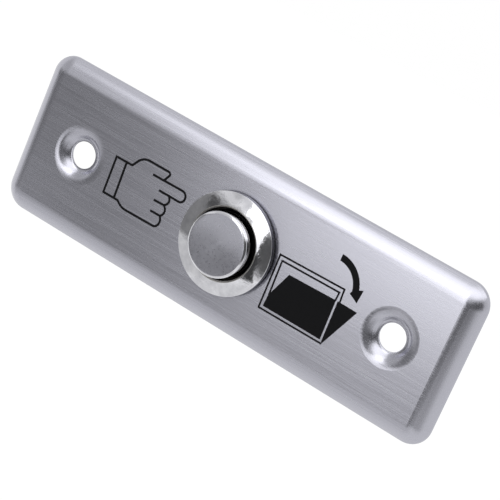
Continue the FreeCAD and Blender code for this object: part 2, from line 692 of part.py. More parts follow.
def make_terminal():
    """Fold the right-hand terminal: inner leg on the base, leg through it, pad at its rear."""
    bend_x = TERMINAL_OUTER_X - TERMINAL_SHEET
    outline = rounded_wire(
        [
            (TERMINAL_INNER_X, TERMINAL_FRONT_Y, 0),
            (TERMINAL_OUTER_X, TERMINAL_FRONT_Y, TERMINAL_SHEET),
            (TERMINAL_OUTER_X, PAD_BACK_Y, TERMINAL_SHEET),
            (PAD_INNER_X, PAD_BACK_Y, 0),
            (PAD_INNER_X, BASE_REAR_Y, 0),
            (bend_x, BASE_REAR_Y, 0),
            (bend_x, BASE_FRONT_Y, 0),
            (TERMINAL_INNER_X, BASE_FRONT_Y, 0),
        ],
        lambda x, y: Vector(x, y, -TERMINAL_LEG_WIDTH / 2),
    )
    strip = Part.Face(outline).extrude(Vector(0, 0, TERMINAL_LEG_WIDTH))
    pad = block((PAD_INNER_X, bend_x), (BASE_REAR_Y, PAD_BACK_Y), PAD_WIDTH / 2)
    rivet_hole = rod(
        RIVET_RADIUS + RIVET_CLEARANCE, TERMINAL_FRONT_Y, BASE_FRONT_Y, CONTACT_OFFSET
    )
    screw_hole = rod(SCREW_RADIUS + RIVET_CLEARANCE, BASE_REAR_Y, PAD_BACK_Y, SCREW_OFFSET)
    return strip.fuse(pad).removeSplitter().cut([rivet_hole, screw_hole])


def make_clamp_washer():
    """Make the right-hand square washer that clamps a wire on the pad."""
    plate = slab(
        CLAMP_SIZE, CLAMP_SIZE, CLAMP_CORNER_RADIUS, PAD_BACK_Y, CLAMP_BACK_Y, SCREW_OFFSET
    )
    return plate.cut(rod(SCREW_RADIUS + SCREW_CLEARANCE, PAD_BACK_Y, CLAMP_BACK_Y, SCREW_OFFSET))


def make_terminal_screw():
    """Make the right-hand terminal screw: rounded head with a slot, plain shank."""
    body = turned(
        [
            (0, SCREW_TIP_Y, 0),
            (SCREW_RADIUS, SCREW_TIP_Y, 0),
            (SCREW_RADIUS, CLAMP_BACK_Y, 0),
            (SCREW_HEAD_RADIUS, CLAMP_BACK_Y, 0),
            (SCREW_HEAD_RADIUS, SCREW_REAR_Y, SCREW_HEAD_ROUND),
            (0, SCREW_REAR_Y, 0),
        ]
    )
    half_width = SCREW_SLOT_WIDTH / 2
    slot = block(
        (-half_width, half_width),
        (SCREW_REAR_Y - SCREW_SLOT_DEPTH, SCREW_REAR_Y),
        SCREW_HEAD_RADIUS,
    )
    screw = body.cut(slot)
    screw.translate(Vector(SCREW_OFFSET, 0, 0))
    return screw


def make_pieces():
    """Return every piece under the name of its node."""
    pieces = {
        "face_plate": make_face_plate(),
        "panel_seal": make_panel_seal(),
        "button_housing": make_button_housing(),
        "lock_washer": make_lock_washer(),
        "panel_nut": make_panel_nut(),
        "push_cap": make_push_cap(),
        "cap_oring": make_cap_oring(),
        "retaining_clip": make_retaining_clip(),
        "plunger": make_plunger(),
        "contact_spring": make_contact_spring(),
        "contact_bridge": make_contact_bridge(),
        "return_spring": make_return_spring(),
        "terminal_base": make_terminal_base(),
    }
    paired = {
        "moving_contact": make_moving_contact(),
        "fixed_contact": make_fixed_contact(),
        "terminal": make_terminal(),
        "clamp_washer": make_clamp_washer(),
        "terminal_screw": make_terminal_screw(),
    }
    for name, shape in paired.items():
        pieces[name + "_right"] = shape
        pieces[name + "_left"] = half_turn(shape)
    return pieces


def single_solid(shape):
    """Return the one solid of a piece, out of the compound that a cut can leave."""
    solids = shape.Solids
    if len(solids) != 1:
        raise ValueError("a piece must be one solid, and this one has %d" % len(solids))
    return solids[0]


def main():
    """Build every piece and write one file for each."""
    os.makedirs("parts", exist_ok=True)
    for name, shape in make_pieces().items():
        solid = single_solid(shape)
        solid.exportStep(os.path.join("parts", name + ".step"))
        box = solid.BoundBox
        print(
            "%-22s %9.3f mm3  x %7.2f %7.2f  y %7.2f %7.2f  z %7.2f %7.2f  valid %s"
            % (name, solid.Volume, box.XMin, box.XMax, box.YMin, box.YMax, box.ZMin, box.ZMax,
               solid.isValid())
        )


main()
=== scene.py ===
"""Dresses the door exit button: its finishes, printed signs, threaded housing, lights and camera.

Sizes in the classes are millimetres in the part's own frame: X along the plate, Z up across it
and Y into the wall. They become metres where a mesh, a lamp or a pattern is made.
"""
import logging
import math
from collections.abc import Callable, Iterable, Sequence
from dataclasses import dataclass
from enum import Enum
from typing import Any

import bpy
from mathutils import Matrix, Vector


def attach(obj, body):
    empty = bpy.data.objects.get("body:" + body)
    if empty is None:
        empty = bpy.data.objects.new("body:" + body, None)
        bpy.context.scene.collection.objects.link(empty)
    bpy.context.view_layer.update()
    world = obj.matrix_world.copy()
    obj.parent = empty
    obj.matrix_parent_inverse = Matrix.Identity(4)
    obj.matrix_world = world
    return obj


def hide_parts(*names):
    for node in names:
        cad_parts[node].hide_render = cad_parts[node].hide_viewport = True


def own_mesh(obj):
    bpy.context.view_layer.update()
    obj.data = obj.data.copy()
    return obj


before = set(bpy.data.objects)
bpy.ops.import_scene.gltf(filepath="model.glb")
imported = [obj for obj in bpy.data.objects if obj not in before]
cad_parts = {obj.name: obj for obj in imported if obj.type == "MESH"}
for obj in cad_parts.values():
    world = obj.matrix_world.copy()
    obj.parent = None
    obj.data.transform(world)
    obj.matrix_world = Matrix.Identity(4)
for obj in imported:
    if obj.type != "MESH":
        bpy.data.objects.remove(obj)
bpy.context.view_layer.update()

LOG = logging.getLogger("door_exit_button")
MM = 0.001
MERGE_DISTANCE = 1e-7
WHITE = "#FFFFFF"

# The noise behind every finish's grain: how fine it gets, and the part of its range in use.
NOISE_DETAIL = 3.0
NOISE_ROUGHNESS = 0.6
NOISE_LOW = 0.3
NOISE_HIGH = 0.7
QUARTER_TURN = 0.25
# The least cosine of half a bend, which keeps the mitre of a printed line short.
MITRE_LIMIT = 0.3

Point = tuple[float, float]
Corner = tuple[float, float, float]
Place = tuple[float, float, float]


class Body(Enum):
    """The bodies that pieces ride on."""

    PLATE = "plate_assembly"
    BUTTON = "push_button"


class Turn(Enum):
    """Which way a finish's fine lines run on a turned or brushed piece."""

    ALONG = "along the plate"
    ROUND = "round the button's axis"


# Colours, nodes and finishes


def linear(colour: str) -> tuple[float, float, float, float]:
    """Turn a sRGB hex colour into linear light.

    Args:
        colour: The colour as "#RRGGBB".

    Returns:
        Red, green, blue and alpha, as a node's socket takes them.
    """
    # The standard's own curve: straight near black, then a power.
    channels = []
    for start in (1, 3, 5):
        value = int(colour[start : start + 2], 16) / 255
        channels.append(value / 12.92 if value <= 0.04045 else ((value + 0.055) / 1.055) ** 2.4)
    return channels[0], channels[1], channels[2], 1.0


def add_node(
    tree: bpy.types.NodeTree,
    kind: str,
    settings: dict[Any, Any] | None = None,
    links: dict[Any, bpy.types.NodeSocket] | None = None,
) -> bpy.types.Node:
    """Add a node with its settings and the links to its inputs.

    Args:
        tree: The node tree.
        kind: The node's type, such as "ShaderNodeBump".
        settings: Values for its options and its inputs, by name or number.
        links: The sockets that feed its inputs, by name or number.

    Returns:
        The new node.
    """
    node = tree.nodes.new(kind)
    for name, value in (settings or {}).items():
        if isinstance(name, str) and hasattr(node, name):
            setattr(node, name, value)
        else:
            node.inputs[name].default_value = value
    for name, socket in (links or {}).items():
        tree.links.new(socket, node.inputs[name])
    return node


def calculate(
    tree: bpy.types.NodeTree, operation: str, *terms: bpy.types.NodeSocket | float
) -> bpy.types.NodeSocket:
    """Calculate with sockets and numbers.

    Args:
        tree: The node tree.
        operation: What is done with them, such as "MULTIPLY".
        terms: The sockets and numbers, in order.

    Returns:
        The result.
    """
    numbers = {place: term for place, term in enumerate(terms) if isinstance(term, float)}
    links = {place: term for place, term in enumerate(terms) if place not in numbers}
    return add_node(tree, "ShaderNodeMath", {"operation": operation, **numbers}, links).outputs[0]


def new_material(name: str) -> tuple[bpy.types.Material, bpy.types.NodeTree]:
    """Start a material.

    Args:
        name: The material's name.

    Returns:
        The material and its node tree, which is empty.
    """
    material = bpy.data.materials.new(name)
    material.use_nodes = True
    material.node_tree.nodes.clear()
    return material, material.node_tree


@dataclass(frozen=True)
class Finish:
    """A plain finish: two colours, a roughness and a fine uneven grain.

    The grain's width and height are in millimetres. The bow and the lean tilt the surface as a
    shallow form would: the bow more and more towards its top and bottom, the lean towards -X.
    """

    name: str
    colour: str
    second_colour: str
    roughness: float
    metallic: float = 0.0
    grain: float = 1.0
    grain_height: float = 0.0
    roughness_spread: float = 0.05
    specular: float = 0.5
    bow: float = 0.0
    lean: float = 0.0

    def start(self) -> tuple[bpy.types.Material, bpy.types.NodeTree, bpy.types.Node]:
        """Make a material with its shader.

        Returns:
            The material, its node tree and its shader.
        """
        material, tree = new_material(self.name)
        shader = add_node(
            tree,
            "ShaderNodeBsdfPrincipled",
            {
                "Base Color": linear(self.colour),
                "Roughness": self.roughness,
                "Metallic": self.metallic,
                "Specular IOR Level": self.specular,
            },
        )
        add_node(tree, "ShaderNodeOutputMaterial", links={"Surface": shader.outputs["BSDF"]})
        return material, tree, shader

    def grain_scale(self) -> Place:
        """Return how many grains there are in a metre along X, Y and Z."""
        count = 1 / (self.grain * MM)
        return count, count, count

    def material(self) -> bpy.types.Material:
        """Make the material: the grain changes its colour, its roughness and its surface.

        Returns:
            The material.
        """
        material, tree, shader = self.start()
        place = add_node(tree, "ShaderNodeTexCoord")
        stretched = add_node(
            tree,
            "ShaderNodeMapping",
            {"Scale": self.grain_scale()},
            {"Vector": place.outputs["Object"]},
        )
        grain = add_node(
            tree,
            "ShaderNodeTexNoise",
            {"Scale": 1.0, "Detail": NOISE_DETAIL, "Roughness": NOISE_ROUGHNESS},
            {"Vector": stretched.outputs["Vector"]},
        )
        spread = add_node(
            tree,
            "ShaderNodeMapRange",
            {"From Min": NOISE_LOW, "From Max": NOISE_HIGH},
            {"Value": grain.outputs[0]},
        )
        colour = add_node(
            tree,
            "ShaderNodeMix",
            {"data_type": "RGBA", 6: linear(self.colour), 7: linear(self.second_colour)},
            {0: spread.outputs[0]},
        )
        roughness = add_node(
            tree,
            "ShaderNodeMapRange",
            {
                "To Min": self.roughness - self.roughness_spread,
                "To Max": self.roughness + self.roughness_spread,
            },
            {"Value": spread.outputs[0]},
        )
        tree.links.new(colour.outputs[2], shader.inputs["Base Color"])
        tree.links.new(roughness.outputs[0], shader.inputs["Roughness"])
        if self.grain_height > 0:
            bump = add_node(
                tree,
                "ShaderNodeBump",
                {"Strength": 1.0, "Distance": self.grain_height * MM},
                {"Height": spread.outputs[0]},
            )
            tree.links.new(bump.outputs[0], shader.inputs["Normal"])
        if self.bow > 0 or self.lean > 0:
            self.bend(tree, shader)
        self.refine(tree, shader)
        return material

    def bend(self, tree: bpy.types.NodeTree, shader: bpy.types.Node) -> None:
        """Tilt the surface by the bow and the lean, under the grain.

        Args:
            tree: The material's node tree.
            shader: Its shader, whose normal comes from the grain.
        """
        place = add_node(tree, "ShaderNodeTexCoord")
        parts = add_node(tree, "ShaderNodeSeparateXYZ", links={0: place.outputs["Object"]})
        square = calculate(tree, "MULTIPLY", parts.outputs["Z"], parts.outputs["Z"])
        rise = calculate(tree, "MULTIPLY", parts.outputs["X"], self.lean)
        height = calculate(tree, "MULTIPLY_ADD", square, -self.bow, rise)
        bent = add_node(
            tree, "ShaderNodeBump", {"Strength": 1.0, "Distance": 1.0}, {"Height": height}
        )
        grain = shader.inputs["Normal"].links[0].from_node
        tree.links.new(bent.outputs[0], grain.inputs["Normal"])

    def refine(self, tree: bpy.types.NodeTree, shader: bpy.types.Node) -> None:
        """Leave the plain finish as it is: other finishes add to it here."""


@dataclass(frozen=True)
class LinedMetal(Finish):
    """Metal with fine lines: the gleam is drawn out across them.

    The real lines are 0.02 to 0.06 mm wide, too fine to show, so they are drawn coarser.
    """

    metallic: float = 1.0
    turn: Turn = Turn.ALONG
    line_length: float = 14.0
    anisotropy: float = 0.75

    def grain_scale(self) -> Place:
        """Count the lines in a metre.

        Returns:
            Their number along X, Y and Z: few along the plate, many across it.
        """
        across = 1 / (self.grain * MM)
        if self.turn is Turn.ROUND:
            return across, across, across
        return 1 / (self.line_length * MM), across, across

    def refine(self, tree: bpy.types.NodeTree, shader: bpy.types.Node) -> None:
        """Draw the gleam out across the lines.

        Args:
            tree: The material's node tree.
            shader: Its shader.
        """
        shader.inputs["Anisotropic"].default_value = self.anisotropy
        if self.turn is Turn.ROUND:
            shader.inputs["Anisotropic Rotation"].default_value = QUARTER_TURN
            tangent = add_node(
                tree, "ShaderNodeTangent", {"direction_type": "RADIAL", "axis": "Y"}
            )
            tree.links.new(tangent.outputs[0], shader.inputs["Tangent"])
        else:
            across = add_node(tree, "ShaderNodeCombineXYZ", {"Z": 1.0})
            tree.links.new(across.outputs[0], shader.inputs["Tangent"])


# Stainless sheet, brushed along its length before it was pressed: a soft grey metal whose
# gleam spreads up and down, with faint long lines, and whose tone turns slowly across it.
BRUSHED_STAINLESS = LinedMetal(
    "brushed stainless sheet",
    "#AEAEB7",
    "#B5B5BE",
    roughness=0.25,
    grain=0.16,
    grain_height=0.0004,
    roughness_spread=0.035,
    bow=1.7,
)
# Nickel plate on polished brass: a mirror, slightly cloudy and rippled from hand polishing,
# whose flange leans a little to the left.
POLISHED_NICKEL = Finish(
    "polished nickel plate",
    "#C6C6CB",
    "#DEDEE2",
    roughness=0.07,
    metallic=1.0,
    grain=1.7,
    grain_height=0.012,
    roughness_spread=0.03,
    lean=0.09,
)
# Nickel plate left dull on the lip, where the tool's marks were not polished out.
DULL_NICKEL = LinedMetal(
    "dull nickel lip",
    "#9C9A97",
    "#B0AEAA",
    roughness=0.36,
    grain=0.2,
    grain_height=0.002,
    turn=Turn.ROUND,
)
# Face of the cap, finely turned and hardly dished: satin grey that darkens evenly downwards.
TURNED_CAP = LinedMetal(
    "fine turned cap face",
    "#9C9CA4",
    "#A6A6AE",
    roughness=0.3,
    grain=0.35,
    grain_height=0.0002,
    turn=Turn.ROUND,
    anisotropy=0.2,
    bow=12.5,
)
# Bore round the cap, left as turned and painted near black as painted shade, so that the gap reads
# as black as its deep shadow.
BORE_PAINTED_SHADE = Finish(
    "bore with painted shade",
    "#1B1A19",
    "#262523",
    roughness=0.5,
    metallic=1.0,
    grain=0.4,
    grain_height=0.002,
)
# Side wall of the flange: turned, so less glossy than its face, and painted a darker grey as
# painted shade for the shadow and dark reflection along it.
FLANGE_WALL_PAINTED_SHADE = LinedMetal(
    "turned flange wall with painted shade",
    "#7E7E86",
    "#8C8C94",
    roughness=0.3,
    grain=0.3,
    grain_height=0.001,
    turn=Turn.ROUND,
)
# Nickel-plated brass nut: satin, warmer than steel.
SATIN_NICKEL = Finish(
    "satin nickel plate",
    "#B5B1A8",
    "#C2BEB4",
    roughness=0.28,
    metallic=1.0,
    grain=0.9,
    grain_height=0.001,
)
# Zinc plate on steel: pale, slightly blue and cloudy.
ZINC_PLATE = Finish(
    "zinc plated steel",
    "#AEB3BA",
    "#C4C6C4",
    roughness=0.34,
    metallic=1.0,
    grain=0.8,
    grain_height=0.0015,
    roughness_spread=0.08,
)
# Drawn spring wire: darker steel with a fine grain.
SPRING_WIRE = Finish(
    "drawn spring wire",
    "#86868B",
    "#9A9A9E",
    roughness=0.3,
    metallic=1.0,
    grain=0.25,
    grain_height=0.001,
)
# Silver alloy of the contacts: the palest metal, slightly soft.
CONTACT_SILVER = Finish(
    "contact silver",
    "#DCDAD4",
    "#E6E4DF",
    roughness=0.25,
    metallic=1.0,
    grain=0.4,
    grain_height=0.0008,
)
# Brass strip, stamped: yellow metal with a rolled surface.
BRASS_STRIP = Finish(
    "stamped brass strip",
    "#C29A52",
    "#CDA860",
    roughness=0.27,
    metallic=1.0,
    grain=0.5,
    grain_height=0.001,
)
# Nitrile rubber of the seal and the O-ring: near black and matt.
BLACK_RUBBER = Finish(
    "black nitrile rubber",
    "#121213",
    "#1A1A1B",
    roughness=0.7,
    grain=0.3,
    grain_height=0.003,
)
# Acetal of the plunger: milky white with a faint sheen.
WHITE_ACETAL = Finish(
    "white acetal",
    "#E6E5DF",
    "#EDECE7",
    roughness=0.42,
    grain=1.2,
    grain_height=0.0015,
)
# Glass-filled nylon of the base: black with a fine spark-eroded grain.
BLACK_NYLON = Finish(
    "black glass-filled nylon",
    "#17171A",
    "#1F1F22",
    roughness=0.5,
    grain=0.18,
    grain_height=0.004,
)
# Screen ink of the signs: near black with a blue cast, and slightly uneven.
SIGN_INK = Finish(
    "black screen ink",
    "#060608",
    "#0A0A0E",
    roughness=0.55,
    specular=0.14,
    grain=0.6,
    grain_height=0.0008,
)

NODE_FINISHES = {
    BRUSHED_STAINLESS: ("face_plate",),
    BLACK_RUBBER: ("panel_seal", "cap_oring"),
    SATIN_NICKEL: ("panel_nut",),
    ZINC_PLATE: (
        "lock_washer",
        "clamp_washer_left",
        "clamp_washer_right",
        "terminal_screw_left",
        "terminal_screw_right",
    ),
    SPRING_WIRE: ("retaining_clip", "contact_spring"),
    WHITE_ACETAL: ("plunger",),
    BRASS_STRIP: ("contact_bridge", "terminal_left", "terminal_right"),
    CONTACT_SILVER: (
        "moving_contact_left",
        "moving_contact_right",
        "fixed_contact_left",
        "fixed_contact_right",
    ),
    BLACK_NYLON: ("terminal_base",),
}


# Tools for turned and printed pieces


def rounded(corners: Sequence[Corner], steps: int = 4, closed: bool = True) -> list[Point]:
    """Replace each rounded corner of an outline by points on its arc.

    Args:
        corners: Each corner's two coordinates and its radius.
        steps: How many parts each arc has.
        closed: Whether the last corner joins the first.

    Returns:
        The outline's points.
    """
    points: list[Point] = []
    count = len(corners)
    for index, (a, b, radius) in enumerate(corners):
        here = Vector((a, b))
        inner = closed or 0 < index < count - 1
        if radius <= 0 or not inner:
            points.append((a, b))
            continue
        before = (Vector(corners[index - 1][:2]) - here).normalized()
        after = (Vector(corners[(index + 1) % count][:2]) - here).normalized()
        half = before.angle(after) / 2
        reach = radius / math.tan(half)
        centre = here + (before + after).normalized() * (radius / math.sin(half))
        first = here + before * reach - centre
        last = here + after * reach - centre
        sweep = first.angle_signed(last)
        for step in range(steps + 1):
            turned = first.copy()
            turned.rotate(Matrix.Rotation(-sweep * step / steps, 2))
            points.append(tuple(centre + turned))
    return points


def activate(*pieces: bpy.types.Object) -> None:
    """Select some pieces and nothing else.

    Args:
        pieces: The pieces, of which the first becomes the active one.
    """
    bpy.ops.object.select_all(action="DESELECT")
    for piece in pieces:
        piece.select_set(True)
    bpy.context.view_layer.objects.active = pieces[0]


def new_point(name: str, x: float, y: float, z: float) -> bpy.types.Object:
    """Start a piece in edit mode as a single point.

    Args:
        name: The piece's name.
        x: Where the point is along X.
        y: Where it is along Y.
        z: Where it is along Z.

    Returns:
        The piece, with its object at the origin.
    """
    bpy.ops.object.select_all(action="DESELECT")
    bpy.ops.mesh.primitive_plane_add(size=MM, location=(0, 0, 0))
    piece = bpy.context.active_object
    piece.name = name
    piece.data.name = name
    bpy.ops.object.mode_set(mode="EDIT")
    bpy.ops.mesh.select_all(action="SELECT")
    bpy.ops.mesh.merge(type="CENTER")
    bpy.ops.transform.translate(value=(x * MM, y * MM, z * MM))
    return piece


def turn_section(name: str, section: Sequence[Point], steps: int) -> bpy.types.Object:
    """Draw a closed section point by point and turn it about the button's axis.

    Args:
        name: The piece's name.
        section: The section's points, as radius and depth.
        steps: How many parts the full turn has.

    Returns:
        The turned piece, smooth apart from its sharp edges.
    """
    piece = new_point(name, section[0][0], section[0][1], 0.0)
    for here, ahead in zip(section, [*section[1:], section[0]]):
        step = ((ahead[0] - here[0]) * MM, (ahead[1] - here[1]) * MM, 0.0)
        bpy.ops.mesh.extrude_vertices_move(TRANSFORM_OT_translate={"value": step})
    bpy.ops.mesh.select_all(action="SELECT")
    bpy.ops.mesh.remove_doubles(threshold=MERGE_DISTANCE)
    bpy.ops.mesh.select_all(action="SELECT")
    bpy.ops.mesh.spin(steps=steps, angle=2 * math.pi, center=(0, 0, 0), axis=(0, 1, 0))
    bpy.ops.mesh.select_all(action="SELECT")
    bpy.ops.mesh.remove_doubles(threshold=MERGE_DISTANCE)
    bpy.ops.mesh.normals_make_consistent(inside=False)
    bpy.ops.object.mode_set(mode="OBJECT")
    smooth(piece)
    return piece


def smooth(piece: bpy.types.Object, angle: float = 32.0) -> None:
    """Shade a piece smooth, apart from edges sharper than an angle in degrees."""
    activate(piece)
    bpy.ops.object.shade_smooth_by_angle(angle=math.radians(angle))


def paint(piece: bpy.types.Object, material: bpy.types.Material) -> None:
    """Give a piece one material all over."""
    piece.data.materials.clear()
    piece.data.materials.append(material)


def paint_faces(
    piece: bpy.types.Object, material: bpy.types.Material, chosen: Callable[[Vector], bool]
) -> None:
    """Give the faces whose middle is chosen a material of their own.

    Args:
        piece: The piece, which has its main material.
        material: The faces' material.
        chosen: Says whether a face with its middle there, in millimetres, is one of them.
    """
    slot = len(piece.data.materials)
    piece.data.materials.append(material)
    for face in piece.data.polygons:
        if chosen(face.center / MM):
            face.material_index = slot


@dataclass(frozen=True)
class Stroke:
    """A printed line of one width along a path of X and Z."""

    path: tuple[Point, ...]
    width: float
    closed: bool = False

    def sides(self) -> tuple[list[Point], list[Point]]:
        """Follow the path on both sides, with a mitre at each bend.

        Returns:
            The points of the line's left side and those of its right side.
        """
        points = [Vector(point) for point in self.path]
        count = len(points)
        left: list[Point] = []
        right: list[Point] = []
        for index, here in enumerate(points):
            before = points[index - 1] if self.closed or index > 0 else None
            ahead = points[(index + 1) % count] if self.closed or index < count - 1 else None
            came = (here - before).normalized() if before is not None else None
            goes = (ahead - here).normalized() if ahead is not None else came
            came = came if came is not None else goes
            along = (came + goes).normalized()
            out = Vector((-along.y, along.x))
            mitre = self.width / 2 / max(MITRE_LIMIT, out.dot(Vector((-came.y, came.x))))
            left.append(tuple(here + out * mitre))
            right.append(tuple(here - out * mitre))
        return left, right

    def faces(self) -> tuple[list[Point], list[tuple[int, ...]]]:
        """Fill the line between its sides.

        Returns:
            The line's points and faces, flat on the plate.
        """
        left, right = self.sides()
        count = len(left)
        last = count if self.closed else count - 1
        faces = [
            (index, (index + 1) % count, count + (index + 1) % count, count + index)
            for index in range(last)
        ]
        return left + right, faces


@dataclass(frozen=True)
class Patch:
    """A printed field of ink with an outline of X and Z."""

    outline: tuple[Point, ...]

    def faces(self) -> tuple[list[Point], list[tuple[int, ...]]]:
        """Return the field's points and its one face, flat on the plate."""
        return list(self.outline), [tuple(range(len(self.outline)))]


@dataclass(frozen=True)
class PrintedSign:
    """A sign of lines and fields, screen printed on the plate's face."""

    name: str
    marks: tuple[Stroke | Patch, ...]
    face_y: float = -2.5
    ink_height: float = 0.014
    layer_step: float = 0.001
    sunk: float = 0.004

    def lay_mark(self, mark: Stroke | Patch, layer: int) -> bpy.types.Object:
        """Lay one line or field as a thin closed layer of ink.

        Args:
            mark: The line or field.
            layer: How many marks lie under it, so that no two tops are level.

        Returns:
            The layer of ink.
        """
        points, faces = mark.faces()
        mesh = bpy.data.meshes.new(self.name)
        base = self.face_y + self.sunk
        mesh.from_pydata([(x * MM, base * MM, z * MM) for x, z in points], [], faces)
        layer_of_ink = bpy.data.objects.new(self.name, mesh)
        bpy.context.scene.collection.objects.link(layer_of_ink)
        activate(layer_of_ink)
        bpy.ops.object.mode_set(mode="EDIT")
        bpy.ops.mesh.select_all(action="SELECT")
        bpy.ops.mesh.normals_make_consistent(inside=False)
        bpy.ops.object.mode_set(mode="OBJECT")
        if mesh.polygons[0].normal.y > 0:
            mesh.flip_normals()
        ink = layer_of_ink.modifiers.new("ink", "SOLIDIFY")
        ink.thickness = (self.sunk + self.ink_height + layer * self.layer_step) * MM
        ink.offset = 1.0
        bpy.ops.object.modifier_apply(modifier=ink.name)
        return layer_of_ink

    def build(self) -> bpy.types.Object:
        """Print the sign.

        Returns:
            The sign as one piece.
        """
        layers = [self.lay_mark(mark, index) for index, mark in enumerate(self.marks)]
        activate(*layers)
        if len(layers) > 1:
            bpy.ops.object.join()
        sign = bpy.context.view_layer.objects.active
        sign.name = self.name
        paint(sign, SIGN_INK.material())
        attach(sign, Body.PLATE.value)
        return sign


def outline(corners: Sequence[Corner], closed: bool = True) -> tuple[Point, ...]:
    """Return an outline of rounded corners as a path for ink."""
    return tuple(rounded(corners, steps=10, closed=closed))


def arc(centre: Point, radius: float, first: float, last: float, steps: int = 14) -> list[Point]:
    """Return points on an arc.

    Args:
        centre: The arc's centre.
        radius: Its radius.
        first: The angle where it starts, in degrees from +X towards +Z.
        last: The angle where it ends.
        steps: How many parts it has.

    Returns:
        The points from the first angle to the last.
    """
    angles = [math.radians(first + (last - first) * step / steps) for step in range(steps + 1)]
    return [
        (centre[0] + radius * math.cos(angle), centre[1] + radius * math.sin(angle))
        for angle in angles
    ]


HAND_LINE = 0.42
CUFF_LINE = 0.44
DOOR_LINE = 0.33

HAND_SIGN = PrintedSign(
    "hand_sign",
    (
        Stroke(
            outline(
                [
                    (-26.39, 3.28, 0.0),
                    (-22.88, 3.33, 0.1),
                    (-21.35, 5.62, 2.6),
                    (-15.02, 5.65, 0.42),
                    (-16.0, 3.84, 0.0),
                    (-10.86, 3.93, 1.0),
                    (-10.88, 1.86, 0.95),
                    (-13.87, 1.87, 0.0),
                    (-13.28, 0.84, 0.9),
                    (-14.1, -0.02, 0.0),
                    (-13.22, -1.03, 1.1),
                    (-14.05, -2.09, 0.0),
                    (-13.64, -2.85, 0.8),
                    (-13.86, -4.31, 1.05),
                    (-21.95, -4.44, 3.0),
                    (-22.93, -3.58, 0.1),
                    (-26.23, -3.61, 0.0),
                ]
            ),
            HAND_LINE,
            closed=True,
        ),
        Stroke(((-24.11, 3.3), (-23.83, -3.58)), CUFF_LINE),
        Stroke(((-18.42, 3.8), (-15.9, 3.84)), HAND_LINE),
        Stroke(((-16.15, 1.86), (-13.7, 1.87)), HAND_LINE),
        Stroke(((-16.4, -0.1), (-14.02, -0.02)), HAND_LINE),
        Stroke(((-16.24, -2.12), (-13.98, -2.09)), HAND_LINE),
    ),
)

DOOR_SIGN = PrintedSign(
    "door_sign",
    (
        Stroke(
            ((22.92, 0.9), (22.73, 3.34), (9.69, 2.97), (9.88, -7.05), (22.96, -6.91)),
            DOOR_LINE,
        ),
        Stroke(((10.71, -4.3), (10.46, 2.17), (22.14, 2.45), (22.05, 0.8)), DOOR_LINE),
        Patch(((12.65, 0.67), (22.16, 0.97), (22.4, -6.38), (10.49, -6.46), (10.6, -4.28))),
        Patch(((22.52, 1.0), (26.46, 0.95), (22.9, -7.0), (22.74, -6.4))),
    ),
)

ARROW_CENTRE = (19.9, 3.1)

EXIT_ARROW = PrintedSign(
    "exit_arrow",
    (
        Patch(
            tuple(
                arc(ARROW_CENTRE, 5.42, 89.7, 14.5)
                + [(25.9, 4.83), (25.68, 2.32), (23.86, 3.2)]
                + arc(ARROW_CENTRE, 4.2, 8.5, 89.7)
            )
        ),
    ),
)


